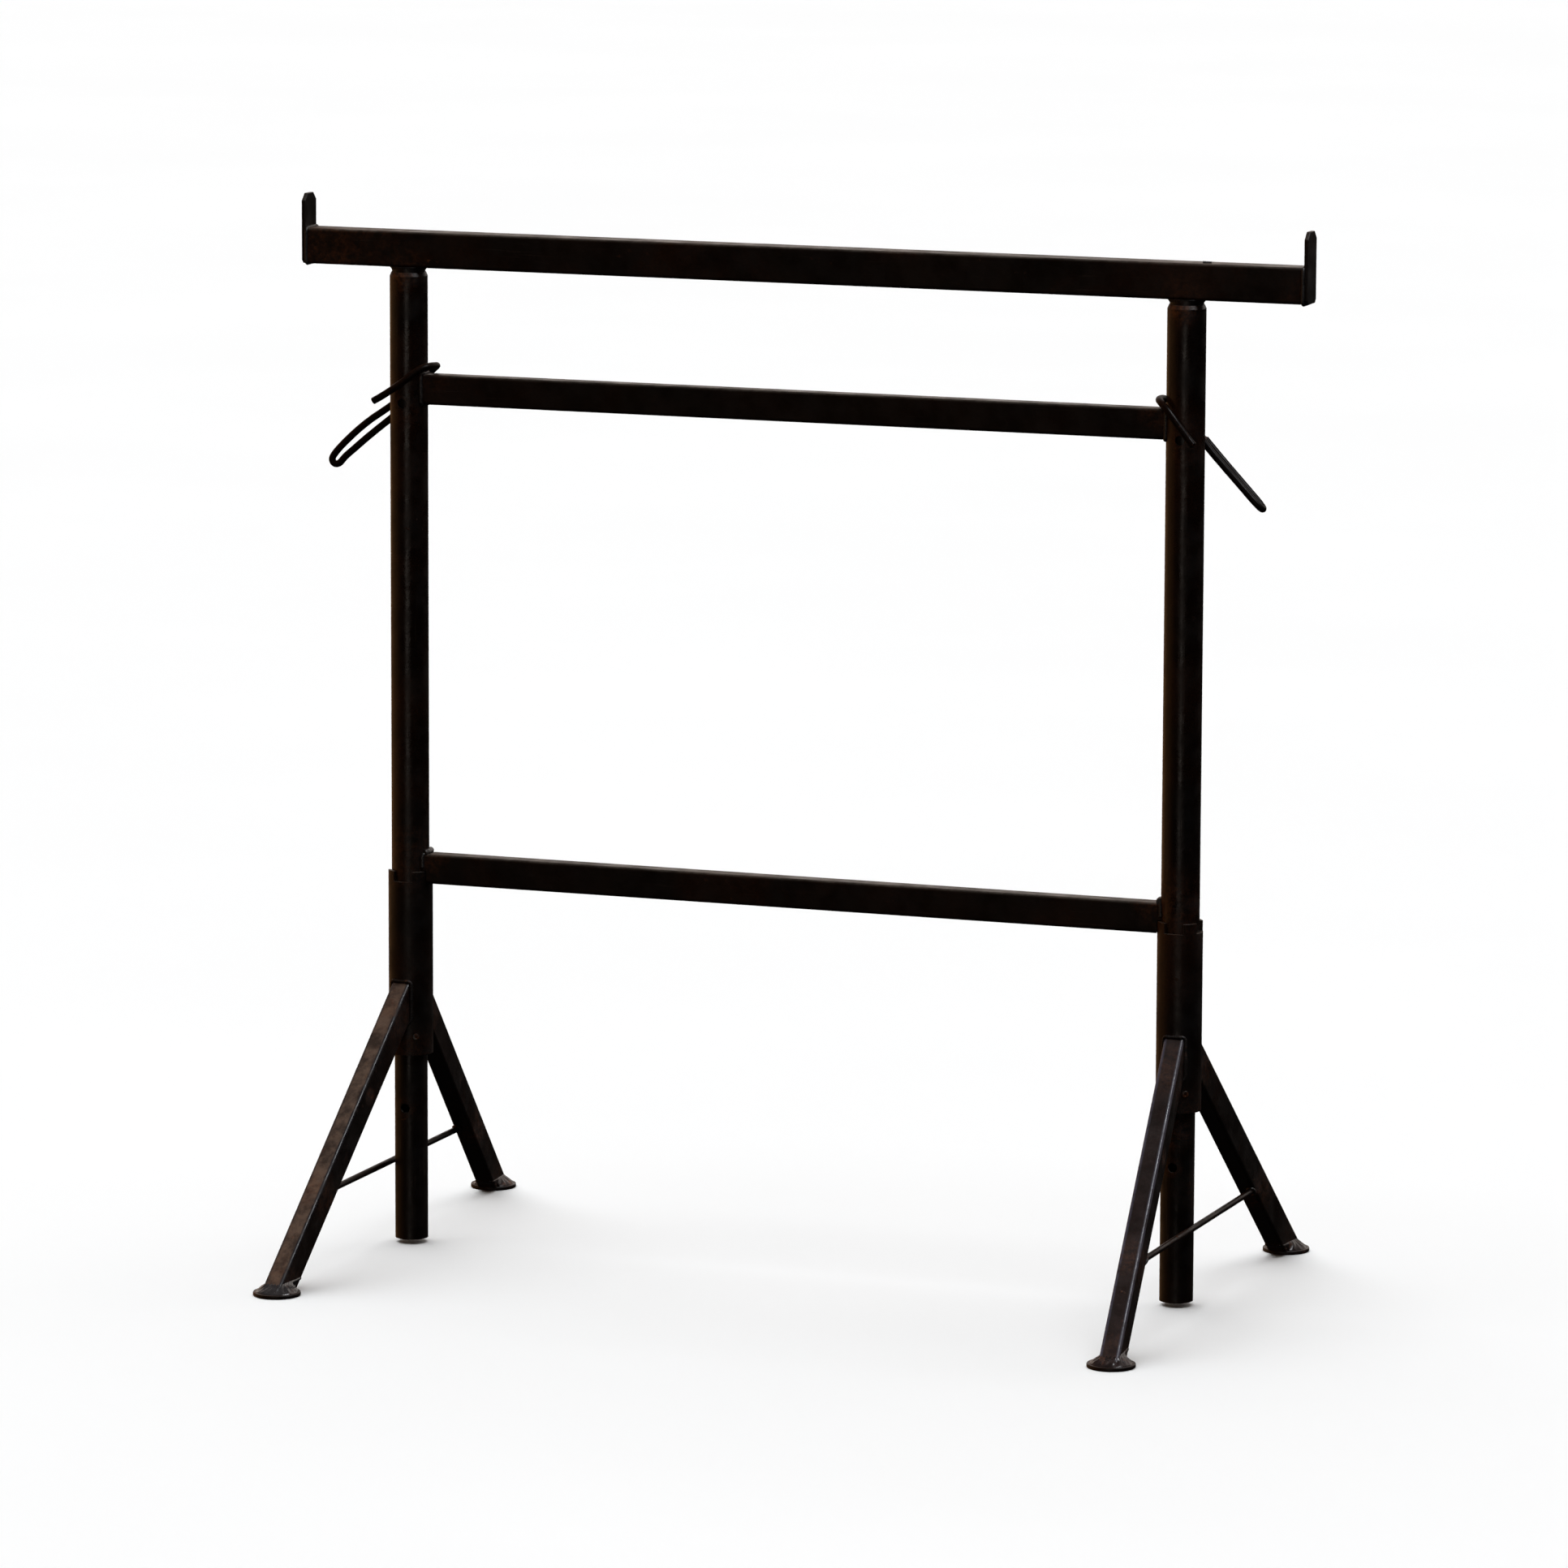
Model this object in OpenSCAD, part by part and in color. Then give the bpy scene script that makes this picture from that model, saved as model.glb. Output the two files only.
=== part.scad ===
// Folding sawhorse: a telescopic steel trestle whose two feet turn on the posts.
// Millimetres. X runs along the beam, Y from front to back, Z up.
// The origin is on the ground, under the middle of the beam.

/* [Posts] */
// Distance between the two post axes
post_spacing = 1037; // [700:1:1400]
// Outside diameter of the fixed outer tube
outer_d = 48.3; // [45:0.1:50]
// Outside diameter of the sliding inner tube
inner_d = 42.4; // [30:0.1:42.6]
// Wall of both tubes
tube_wall = 2.6; // [2:0.1:3]
// Height of the outer tube's top
outer_top = 1257.5; // [1200:0.5:1400]
// Height of the outer tube's bottom, inside the foot sleeve
outer_bottom = 258; // [254:1:262]
// Gap between the lowered inner tube and the ground
ground_gap = 6; // [2:1:20]

/* [Pin holes] */
// Diameter of every pin hole
pin_hole_d = 12; // [10:0.5:14]
// Height of the hole through the outer tube
outer_hole_z = 1091; // [1060:1:1180]
// Lowest hole in the lowered inner tube
inner_hole_z = 178.5; // [150:0.5:240]
// Spacing of the inner tube's holes
hole_pitch = 100; // [60:5:100]
// Number of holes in the inner tube
hole_count = 9; // [4:1:9]

/* [Beam] */
// Height of the beam's top face, lowered
beam_top = 1309.5; // [1305:0.5:1330]
// Height of the beam section
beam_h = 45.5; // [40:0.5:47]
// Depth of the beam section
beam_w = 36; // [30:1:50]
// Length of the beam between its end stops
beam_len = 1327; // [1200:1:1600]
// Distance of the beam's middle to the right of the posts' middle
beam_offset = 10; // [0:1:30]
// Rise of the end stops above the beam
stop_rise = 43.5; // [20:0.5:80]
// Thickness of the end stops
stop_t = 5; // [3:0.5:10]
// Corner cut of the end stops
stop_cut = 9; // [2:0.5:14]

/* [Rails] */
// Height of the upper rail's top face
upper_rail_top = 1128; // [1000:1:1130]
// Height of the lower rail's top face
lower_rail_top = 510.5; // [506:0.5:520]
// Height of the rail section
rail_h = 38.5; // [30:0.5:40]
// Depth of the rail section
rail_w = 25.4; // [20:0.1:30]

/* [Feet] */
// Outside diameter of the foot sleeve
sleeve_d = 57; // [56:0.5:60]
// Bore of the foot sleeve
sleeve_bore = 49.5; // [49:0.1:50]
// Height of the sleeve's top
sleeve_top = 488; // [486:0.5:490]
// Height of the sleeve's bottom
sleeve_bottom = 249; // [240:1:254]
// Depth of the four notches in the sleeve's top
notch_depth = 13; // [8:1:16]
// Width of each notch as an angle round the sleeve
notch_angle = 52; // [40:1:60]
// Width of the rectangular leg tube
leg_w = 25.4; // [20:0.1:35]
// Height of the rectangular leg tube, square to the leg
leg_h = 38; // [25:0.5:40]
// Height where a leg's axis would meet the post axis
leg_apex = 344.5; // [320:0.5:380]
// Reach of a leg to the front or to the back
leg_reach = 358; // [300:1:420]
// Reach of a leg outward, past its post
leg_outset = 33; // [20:1:60]
// Diameter of the round foot plates
plate_d = 60; // [50:1:80]
// Thickness of the foot plates
plate_t = 5; // [4:0.5:8]
// Diameter of the brace rod between two legs
brace_d = 8; // [6:0.5:10]
// Height of the brace rod
brace_z = 104; // [80:1:140]
// Distance of the brace rod outside the post axis
brace_out = 28; // [27:0.5:32]
// Direction of the retaining screw, from the front towards the right
screw_angle = 35; // [20:1:60]
// Height of the retaining screw
screw_z = 274; // [268:1:276]

/* [Locking pins] */
// Diameter of the pin's rod
rod_d = 9; // [6:0.5:11]
// Slope at which the left and the right pin hang
pin_slope = [37, 45];
// Length of the short limb past the post axis, left and right
pin_tail = [44, 32];
// Length of the long limb past the post axis, left and right
pin_reach = [152, 138];
// Turn of the handle loop about the long limb, left and right
handle_turn = [0, 90];
// Distance between the handle loop's two limbs
handle_gap = 12.5; // [11:0.5:24]

/* [Hidden] */
$fn = 96;

LEFT = -1;
RIGHT = 1;
FRONT = -1;
REAR = 1;
beam_bottom = beam_top - beam_h;
// legs: plan angle outward, slope below the horizontal, and length from the apex to the ground
leg_plan = atan(leg_outset / leg_reach);
leg_run = sqrt(leg_outset * leg_outset + leg_reach * leg_reach);
leg_slope = atan(leg_apex / leg_run);
leg_length = sqrt(leg_run * leg_run + leg_apex * leg_apex);
leg_wall = 2;
// rectangular tubes: outer corner radius, walls, and the share of the wall that rounds the inner corner less
tube_corner = 4;
beam_wall = 2.6;
rail_wall = 2;
inner_tightening = 0.6;
// bevel round the outer tube's top
bevel_w = 2.2;
bevel_h = 5;
// retaining screw: its tip runs in a wide groove of the outer tube
screw_d = 8;
groove_r = outer_d / 2 - 1.6;
groove_bottom = screw_z - 5.5;
groove_top = screw_z + 5.5 + notch_depth;
screw_tip_r = groove_r + 0.5;
screw_head_r = sleeve_d / 2 + 1.5;
// clearance cut under the lower rail's ends, where the sleeve's crown turns
crown_gap = 0.8;
// locking pins: limbs pass the post with a small gap and the bend rests above the rail
limb_gap = 0.5;
limb_y = outer_d / 2 + limb_gap + rod_d / 2;
steel = "#3a2f29";
worn = "#4b4340";
rust = "#5a3a26";

// puts its children at the left or the right post
module at_post(side) {
  translate([side * post_spacing / 2 - beam_offset, 0, 0])
    children();
}

// box outline with rounded corners, centred
module rounded_rect(w, h, r) {
  square([w - 2 * r, h], center = true);
  square([w, h - 2 * r], center = true);
  for (x = [-1, 1], y = [-1, 1])
    translate([x * (w / 2 - r), y * (h / 2 - r)])
      circle(r);
}

// hollow box section along +Z, from z = 0
module box_tube(w, h, wall, length) {
  linear_extrude(length)
    difference() {
      rounded_rect(w, h, tube_corner);
      rounded_rect(w - 2 * wall, h - 2 * wall, tube_corner - inner_tightening * wall);
    }
}

// hollow box section laid along X, centred, top face at height top
module rail_tube(length, depth, height, wall, top) {
  translate([-length / 2, 0, top - height / 2])
    rotate([90, 0, 90])
      box_tube(depth, height, wall, length);
}

// round tube between two heights
module pipe(d, bore, z0, z1) {
  difference() {
    translate([0, 0, z0]) cylinder(d = d, h = z1 - z0);
    translate([0, 0, z0 - 1]) cylinder(d = bore, h = z1 - z0 + 2);
  }
}

// cutter for a pin hole through both walls, from front to back
module pin_hole(z) {
  translate([0, outer_d, z])
    rotate([90, 0, 0])
      cylinder(d = pin_hole_d, h = 2 * outer_d);
}

module head_beam() {
  color(steel)
    rail_tube(beam_len, beam_w, beam_h, beam_wall, beam_top);
}

// end plate of the beam, standing above its top face to keep boards from sliding off
module end_stop(x) {
  h = beam_h + stop_rise;
  color(steel)
    translate([x, 0, beam_bottom])
      rotate([90, 0, 90])
        linear_extrude(stop_t)
          polygon([
            [-beam_w / 2 + stop_cut / 2, 0], [beam_w / 2 - stop_cut / 2, 0],
            [beam_w / 2, stop_cut / 2], [beam_w / 2, h - stop_cut],
            [beam_w / 2 - stop_cut, h], [-beam_w / 2 + stop_cut, h],
            [-beam_w / 2, h - stop_cut], [-beam_w / 2, stop_cut / 2]
          ]);
}

// sliding tube of the head, with its row of pin holes
module inner_tube(side) {
  color(worn)
    at_post(side)
      difference() {
        pipe(inner_d, inner_d - 2 * tube_wall, ground_gap, beam_bottom);
        for (i = [0 : hole_count - 1])
          pin_hole(inner_hole_z + i * hole_pitch);
      }
}

// cutter that bevels the outer edge of an outer tube's top
module top_bevel() {
  slope = bevel_w / bevel_h;
  translate([0, 0, outer_top - bevel_h])
    difference() {
      translate([0, 0, -1])
        cylinder(d = outer_d + 4, h = bevel_h + 2);
      translate([0, 0, -2])
        cylinder(r1 = outer_d / 2 + 2 * slope, r2 = outer_d / 2 - bevel_w - 2 * slope, h = bevel_h + 4);
    }
}

// fixed tube of the frame: bevelled top, one pin hole and the groove for the foot's screw
module outer_tube(side) {
  color(steel)
    at_post(side)
      difference() {
        pipe(outer_d, outer_d - 2 * tube_wall, outer_bottom, outer_top);
        top_bevel();
        pin_hole(outer_hole_z);
        pipe(outer_d + 2, 2 * groove_r, groove_bottom, groove_top);
      }
}

// cross rail of the frame, its ends cut to fit round the posts
module frame_rail(top) {
  difference() {
    translate([-beam_offset, 0, 0])
      rail_tube(post_spacing, rail_w, rail_h, rail_wall, top);
    for (side = [LEFT, RIGHT])
      at_post(side)
        translate([0, 0, top - rail_h - 1])
          cylinder(d = outer_d, h = rail_h + 2);
  }
}

module upper_rail() {
  color(steel)
    frame_rail(upper_rail_top);
}

// the lower rail also has a clearance cut below each end for the crown of the foot sleeve
module lower_rail() {
  rail_bottom = lower_rail_top - rail_h;
  color(steel)
    difference() {
      frame_rail(lower_rail_top);
      for (side = [LEFT, RIGHT])
        at_post(side)
          translate([0, 0, rail_bottom - 1])
            cylinder(d = sleeve_d + 2 * crown_gap, h = sleeve_top + crown_gap - rail_bottom + 1);
    }
}

// wedge-shaped cutter for one notch of the crown, pointing to +X
module notch() {
  far = sleeve_d;
  half = notch_angle / 2;
  translate([0, 0, sleeve_top - notch_depth])
    linear_extrude(notch_depth + 1)
      polygon([[0, 0], [far * cos(half), -far * sin(half)], [far, 0], [far * cos(half), far * sin(half)]]);
}

// cylinder along a radius of the post, at the retaining screw's place
module screw_bar(d, r0, r1) {
  rotate([0, 0, screw_angle - 90])
    translate([r0, 0, screw_z])
      rotate([0, 90, 0])
        cylinder(d = d, h = r1 - r0);
}

// turning sleeve of a foot, its crown cut with four notches
module sleeve(side) {
  color(rust)
    at_post(side)
      difference() {
        pipe(sleeve_d, sleeve_bore, sleeve_bottom, sleeve_top);
        for (turn = [0 : 90 : 270])
          rotate([0, 0, turn])
            notch();
        screw_bar(screw_d, 0, sleeve_d);
      }
}

// set screw that keeps the foot on the post
module retaining_screw(side) {
  color(worn)
    at_post(side)
      difference() {
        screw_bar(screw_d - 0.1, screw_tip_r, screw_head_r);
        screw_bar(4, screw_head_r - 2.5, screw_head_r + 1);
      }
}

// puts its children at a leg's apex, turned so that -Z runs down the leg
module along_leg(side, end) {
  translate([0, 0, leg_apex])
    rotate([0, 0, -side * end * leg_plan])
      rotate([end * (90 - leg_slope), 0, 0])
        children();
}

// space above the foot plates, where the legs are cut level
module above_plates() {
  translate([-leg_reach, -2 * leg_reach, plate_t])
    cube([2 * leg_reach, 4 * leg_reach, 2 * leg_apex]);
}

// rectangular leg, its top cut to the sleeve and its bottom cut level on the plate
module leg(side, end) {
  color(worn)
    at_post(side)
      intersection() {
        difference() {
          along_leg(side, end)
            translate([0, 0, -leg_length - leg_h])
              box_tube(leg_w, leg_h, leg_wall, leg_length + leg_h);
          cylinder(d = sleeve_d, h = 2 * leg_apex);
        }
        above_plates();
      }
}

module foot_plate(side, end) {
  color(worn)
    at_post(side)
      translate([side * leg_outset, end * leg_reach, 0])
        cylinder(d = plate_d, h = plate_t);
}

// round rod that ties the two legs of a foot, outside the post
module brace_rod(side) {
  // distance of a leg's axis from the posts' plane, at the rod's height
  leg_y = leg_reach * (1 - brace_z / leg_apex);
  color(rust)
    at_post(side)
      difference() {
        translate([side * brace_out, leg_y, brace_z])
          rotate([90, 0, 0])
            cylinder(d = brace_d, h = 2 * leg_y);
        for (end = [FRONT, REAR])
          along_leg(side, end)
            translate([-leg_w, -leg_h / 2, -leg_length])
              cube([2 * leg_w, leg_h, leg_length]);
      }
}

// straight stretch of the pin's rod, along +X
module limb(x0, x1) {
  translate([x0, 0, 0])
    rotate([0, 90, 0])
      cylinder(d = rod_d, h = x1 - x0);
}

// half turn of the pin's rod round the origin, open towards +X
module half_turn(r) {
  rotate([0, 0, 90])
    rotate_extrude(angle = 180)
      translate([r, 0])
        circle(d = rod_d);
}

// bent-rod pin, hung round a post at the origin with its bend above the upper rail;
// +X is outward here, away from the rail
module pin_shape(slope, tail, reach, turn) {
  // whole millimetres inward to the bend's centre, enough to clear the post's slanted section
  bend_x = ceil(outer_d / 2 * (1 / cos(slope) - 1)) + 2;
  // height at which the bend passes over the rail's edges with a small gap
  edge_run = bend_x + sqrt(limb_y * limb_y - rail_w * rail_w / 4);
  lift = rod_d / 2 + 0.8;
  z = upper_rail_top + lift - edge_run * sin(slope);
  translate([0, 0, z])
    rotate([0, slope, 0]) {
      translate([-bend_x, 0, 0])
        half_turn(limb_y);
      translate([0, -limb_y, 0])
        limb(-bend_x, tail);
      translate([0, limb_y, 0]) {
        limb(-bend_x, reach);
        rotate([turn, 0, 0])
          translate([0, 0, -handle_gap / 2]) {
            translate([reach, 0, 0])
              rotate([90, 0, 0])
                mirror([1, 0, 0])
                  half_turn(handle_gap / 2);
            translate([0, 0, -handle_gap / 2])
              limb(tail / 2, reach);
          }
      }
    }
}

module locking_pin(side) {
  i = side == LEFT ? 0 : 1;
  color(rust)
    at_post(side)
      mirror([side == LEFT ? 1 : 0, 0, 0])
        pin_shape(pin_slope[i], pin_tail[i], pin_reach[i], handle_turn[i]);
}

head_beam();
end_stop(-beam_len / 2 - stop_t);  // end_stop_left
end_stop(beam_len / 2);  // end_stop_right
inner_tube(LEFT);  // inner_tube_left
inner_tube(RIGHT);  // inner_tube_right
outer_tube(LEFT);  // outer_tube_left
outer_tube(RIGHT);  // outer_tube_right
upper_rail();
lower_rail();
sleeve(LEFT);  // left_sleeve
leg(LEFT, FRONT);  // left_front_leg
leg(LEFT, REAR);  // left_rear_leg
foot_plate(LEFT, FRONT);  // left_front_plate
foot_plate(LEFT, REAR);  // left_rear_plate
brace_rod(LEFT);  // left_brace_rod
retaining_screw(LEFT);  // left_retaining_screw
sleeve(RIGHT);  // right_sleeve
leg(RIGHT, FRONT);  // right_front_leg
leg(RIGHT, REAR);  // right_rear_leg
foot_plate(RIGHT, FRONT);  // right_front_plate
foot_plate(RIGHT, REAR);  // right_rear_plate
brace_rod(RIGHT);  // right_brace_rod
retaining_screw(RIGHT);  // right_retaining_screw
locking_pin(LEFT);  // locking_pin_left
locking_pin(RIGHT);  // locking_pin_right
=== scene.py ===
import math
import random

import bmesh
import bpy
from mathutils import Matrix, Vector, noise


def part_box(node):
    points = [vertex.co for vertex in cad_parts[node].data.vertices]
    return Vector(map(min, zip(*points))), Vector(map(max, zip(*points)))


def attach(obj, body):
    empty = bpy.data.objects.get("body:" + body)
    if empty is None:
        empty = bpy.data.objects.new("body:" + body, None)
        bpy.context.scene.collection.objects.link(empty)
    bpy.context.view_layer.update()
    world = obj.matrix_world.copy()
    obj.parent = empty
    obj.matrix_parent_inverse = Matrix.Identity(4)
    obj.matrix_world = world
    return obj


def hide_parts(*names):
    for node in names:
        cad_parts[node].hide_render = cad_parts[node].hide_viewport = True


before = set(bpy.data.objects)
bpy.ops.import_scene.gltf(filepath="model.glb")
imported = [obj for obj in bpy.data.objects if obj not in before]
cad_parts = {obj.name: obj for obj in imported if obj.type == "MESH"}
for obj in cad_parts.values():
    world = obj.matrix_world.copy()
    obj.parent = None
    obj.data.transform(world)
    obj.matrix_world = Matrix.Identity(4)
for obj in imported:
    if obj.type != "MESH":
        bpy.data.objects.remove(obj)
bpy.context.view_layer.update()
SIDES = {"left": -1, "right": 1}
ENDS = {"front": -1, "rear": 1}


def centre(node):
    """Middle of a CAD node's box."""
    low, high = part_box(node)
    return (low + high) / 2


def size(node):
    """Extents of a CAD node's box."""
    low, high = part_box(node)
    return high - low


# sizes read from the frame, in metres
POST_X = {side: centre("outer_tube_" + side).x for side in SIDES}
OUTER_R = size("outer_tube_left").x / 2
OUTER_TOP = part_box("outer_tube_left")[1].z
INNER_R = size("inner_tube_left").x / 2
SLEEVE_R = size("left_sleeve").x / 2
SLEEVE_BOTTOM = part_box("left_sleeve")[0].z
SLEEVE_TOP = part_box("left_sleeve")[1].z
BEAM_LOW, BEAM_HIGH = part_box("head_beam")
UPPER_LOW, UPPER_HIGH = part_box("upper_rail")
LOWER_LOW, LOWER_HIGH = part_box("lower_rail")
PLATE_R = size("left_front_plate").x / 2
PLATE_T = size("left_front_plate").z
ROD_R = size("left_brace_rod").x / 2

# the design's own values, in metres
TUBE_CORNER = 0.004
LEG_WIDTH = 0.0254
LEG_HEIGHT = 0.038
LEG_APEX = 0.3445
STOP_CUT = 0.009
PIN_R = 0.0045
CROWN_CLEAR = 0.0015
OUTER_HOLE_Z = 1.091
INNER_HOLE_Z = 0.1785
SCUFF_RING_Z = 0.2135

# weld beads: radius of each kind, and how far the neck's fillet and the domes reach, in metres
STOP_BEAD = 0.0021
RAIL_BEAD = 0.0026
CORNER_BEAD = 0.0042
LEG_BEAD = 0.0023
BRACE_BEAD = 0.0022
TACK_BEAD = 0.0034
NECK_FLARE = 0.0042
NECK_SINK = 0.0004
NECK_WALL = 0.0008
DOME_CLIMB = 0.0095
DOME_TUCK = 0.0125
DOME_SINK = 0.0006

# camera: where it stands, and how it is turned
CAMERA_PLACE = Vector((3.783, -10.214, 2.386))
CAMERA_YAW = math.radians(20.41)
CAMERA_PITCH = math.radians(9.16)
CAMERA_ROLL = math.radians(0.21)
CAMERA_LENS = 201.0


# ---------------------------------------------------------------- mesh helpers


def add_piece(name, bm, body, material, replaces=()):
    """Turns a bmesh into a smooth-shaded piece that rides on a body."""
    bmesh.ops.recalc_face_normals(bm, faces=bm.faces)
    mesh = bpy.data.meshes.new(name)
    bm.to_mesh(mesh)
    bm.free()
    for polygon in mesh.polygons:
        polygon.use_smooth = True
    piece = bpy.data.objects.new(name, mesh)
    bpy.context.scene.collection.objects.link(piece)
    mesh.materials.append(material)
    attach(piece, body)
    if replaces:
        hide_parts(*replaces)
    return piece


def resample(points, step, closed):
    """Points at an even spacing along a polyline."""
    path = list(points) + ([points[0]] if closed else [])
    lengths = [0.0]
    for a, b in zip(path, path[1:]):
        lengths.append(lengths[-1] + (b - a).length)
    total = lengths[-1]
    count = max(8, round(total / step))
    out = []
    k = 0
    for i in range(count + (0 if closed else 1)):
        s = total * i / count
        while k < len(lengths) - 2 and lengths[k + 1] < s:
            k += 1
        span = max(lengths[k + 1] - lengths[k], 1e-12)
        out.append(path[k].lerp(path[k + 1], min(1.0, (s - lengths[k]) / span)))
    return out


def smooth_curve(points, closed=False, steps=10):
    """Catmull-Rom curve through the points."""
    n = len(points)
    spans = n if closed else n - 1
    out = []
    for i in range(spans):
        if closed:
            p0, p1, p2, p3 = (points[(i + k) % n] for k in (-1, 0, 1, 2))
        else:
            p0, p1, p2, p3 = (points[min(max(i + k, 0), n - 1)] for k in (-1, 0, 1, 2))
        for s in range(steps):
            t = s / steps
            a = 2 * p1
            b = (p2 - p0) * t
            c = (2 * p0 - 5 * p1 + 4 * p2 - p3) * t * t
            d = (3 * p1 - p0 - 3 * p2 + p3) * t * t * t
            out.append((a + b + c + d) / 2)
    if not closed:
        out.append(points[-1].copy())
    return out


def tangents(path, closed):
    """Unit direction at every point of a path."""
    n = len(path)
    out = []
    for i in range(n):
        before = path[(i - 1) % n] if closed or i > 0 else path[i]
        after = path[(i + 1) % n] if closed or i < n - 1 else path[i]
        out.append((after - before).normalized())
    return out


def frames_along(path, closed):
    """A side vector at every point, carried along the path without twist."""
    tangent = tangents(path, closed)
    start = Vector((0, 0, 1))
    if abs(tangent[0].dot(start)) > 0.9:
        start = Vector((1, 0, 0))
    side = (start - tangent[0] * start.dot(tangent[0])).normalized()
    sides = [side]
    for t0, t1 in zip(tangent, tangent[1:]):
        side = t0.rotation_difference(t1) @ side
        side = (side - t1 * side.dot(t1)).normalized()
        sides.append(side)
    if closed:
        last = tangent[-1].rotation_difference(tangent[0]) @ sides[-1]
        twist = math.atan2(last.cross(sides[0]).dot(tangent[0]), last.dot(sides[0]))
        count = len(sides)
        sides = [Matrix.Rotation(twist * i / count, 3, tangent[i]) @ s for i, s in enumerate(sides)]
    return tangent, sides


def sweep(bm, path, radii, closed, ring=14):
    """Round bar along a path, with its own radius at every point and closed ends."""
    tangent, sides = frames_along(path, closed)
    rings = []
    for point, t, side, radius in zip(path, tangent, sides, radii):
        other = t.cross(side)
        row = []
        for k in range(ring):
            angle = 2 * math.pi * k / ring
            row.append(bm.verts.new(point + (side * math.cos(angle) + other * math.sin(angle)) * radius))
        rings.append(row)
    pairs = list(zip(rings, rings[1:]))
    if closed:
        pairs.append((rings[-1], rings[0]))
    for low, high in pairs:
        for k in range(ring):
            j = (k + 1) % ring
            bm.faces.new((low[k], low[j], high[j], high[k]))
    if not closed:
        for row, point, t, sign, radius in (
            (rings[0], path[0], tangent[0], -1, radii[0]),
            (rings[-1], path[-1], tangent[-1], 1, radii[-1]),
        ):
            cap_end(bm, row, point, t * sign, radius)


def cap_end(bm, row, point, outward, radius):
    """Closes a bar's end with a small rounded rim and a flat face."""
    before = row
    for share, rise in ((0.93, 0.05), (0.8, 0.09)):
        ring = [bm.verts.new(point + (v.co - point) * share + outward * radius * rise) for v in row]
        for k in range(len(row)):
            j = (k + 1) % len(row)
            bm.faces.new((before[k], before[j], ring[j], ring[k]))
        before = ring
    middle = bm.verts.new(point + outward * radius * 0.1)
    for k in range(len(row)):
        bm.faces.new((before[k], before[(k + 1) % len(row)], middle))


def bead(name, path, radius, body, material, closed=True, seed=0, drops=3):
    """Hand-made weld bead: overlapping ripples of uneven size along a path, with a few spatter drops."""
    random.seed(seed)
    pitch = radius * 1.25
    points = resample(path, radius * 0.34, closed)
    step = (points[1] - points[0]).length
    radii = []
    for i, p in enumerate(points):
        phase = (i * step / pitch) % 1.0
        ripple = 0.16 * (1 - phase) ** 1.5
        lump = 0.16 * noise.noise(p * 90 + Vector((seed, 0, 0)))
        radii.append(radius * (0.9 + ripple + lump))
    bm = bmesh.new()
    moved = [p + noise.noise_vector(p * 60 + Vector((0, seed, 0))) * radius * 0.12 for p in points]
    sweep(bm, moved, radii, closed)
    for index in range(drops):
        place = random.choice(points) + noise.noise_vector(Vector((seed, index, 3))) * radius * 1.1
        drop(bm, place, radius * random.uniform(0.28, 0.45))
    return add_piece(name, bm, body, material)


def drop(bm, place, radius):
    """Small uneven droplet of spatter."""
    made = bmesh.ops.create_icosphere(bm, subdivisions=2, radius=radius)
    for v in made["verts"]:
        v.co = place + v.co * (1 + 0.2 * noise.noise(v.co * 900 + place * 50))


def rounded_loop(width, height, corner, per_corner=7):
    """Outline of a rounded rectangle as (u, v) pairs, anticlockwise."""
    out = []
    for turn, (cu, cv) in enumerate(((1, 1), (-1, 1), (-1, -1), (1, -1))):
        for k in range(per_corner):
            angle = math.pi / 2 * (turn + k / (per_corner - 1))
            out.append((
                cu * (width / 2 - corner) + corner * math.cos(angle),
                cv * (height / 2 - corner) + corner * math.sin(angle),
            ))
    return out


# ---------------------------------------------------------------- node helpers


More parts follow.
